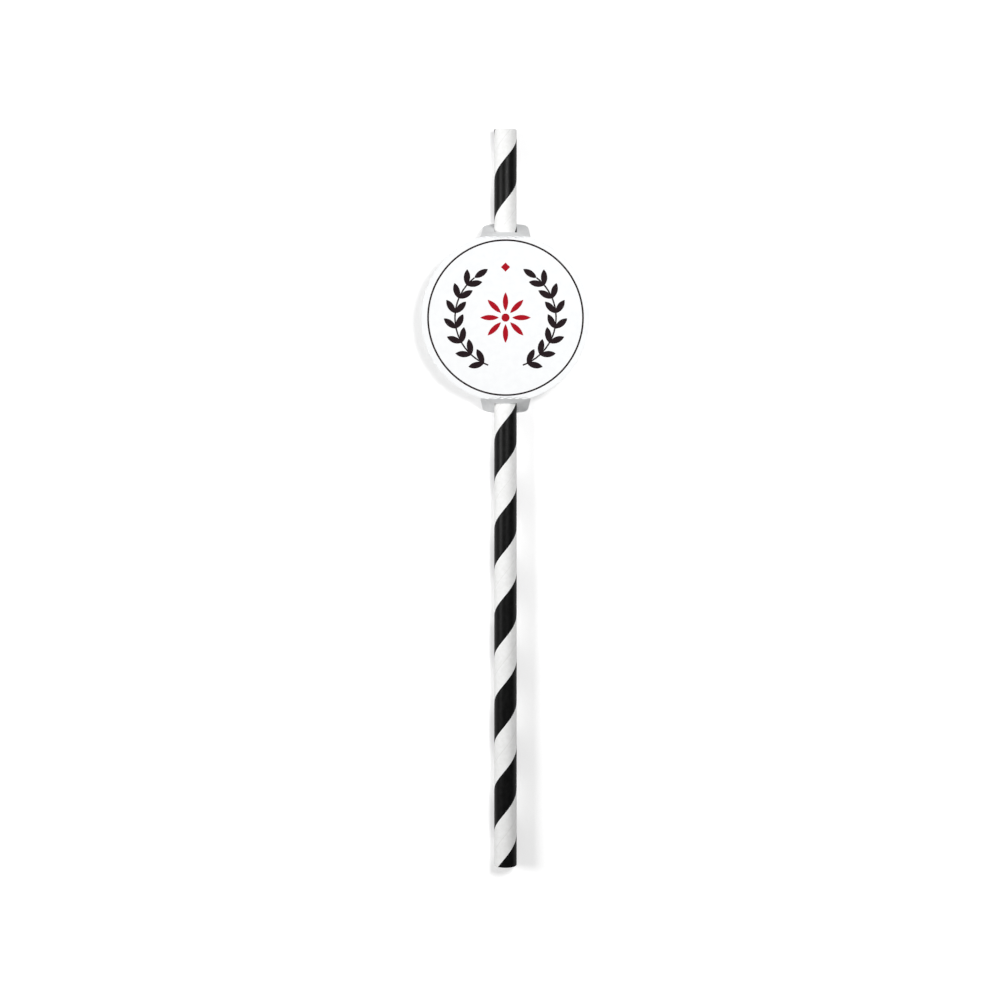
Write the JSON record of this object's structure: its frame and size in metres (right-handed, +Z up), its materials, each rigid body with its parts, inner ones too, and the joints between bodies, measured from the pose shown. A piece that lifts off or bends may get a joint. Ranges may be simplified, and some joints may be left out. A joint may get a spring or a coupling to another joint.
{
  "type": "paper drinking straw with a round card medallion",
  "caption": "Straight spiral-striped paper drinking straw carrying a round printed card medallion, threaded on by two folded-back tabs so that it slides along the tube.",
  "frame": {"origin": "middle of the overall box in X and Y, on the surface that the far edges of the tabs rest on", "axes": "+Y along the straw to its top end, the end nearer the medallion; +Z up, out of the medallion's printed face; +X to the right of someone facing that print"},
  "size_m": [0.0446, 0.197, 0.0098],
  "materials": {
    "white_paper": "matt uncoated paper, wound in a spiral",
    "black_stripe_ink": "black ink on uncoated paper, faint sheen, fibres showing through",
    "white_card": "smooth coated white card, matt",
    "black_print_ink": "black offset ink on card",
    "red_print_ink": "red offset ink on card"
  },
  "bodies": {
    "straw": {"straw": "white_paper", "black_stripe": "black_stripe_ink"},
    "medallion": {"medallion": "white_card", "black_print": "black_print_ink", "red_print": "red_print_ink"}
  },
  "joints": [
    {"name": "medallion_slide", "type": "slide", "parent": "straw", "child": "medallion", "axis": [0, 1, 0], "range_m": [-0.12, 0.023]}
  ]
}
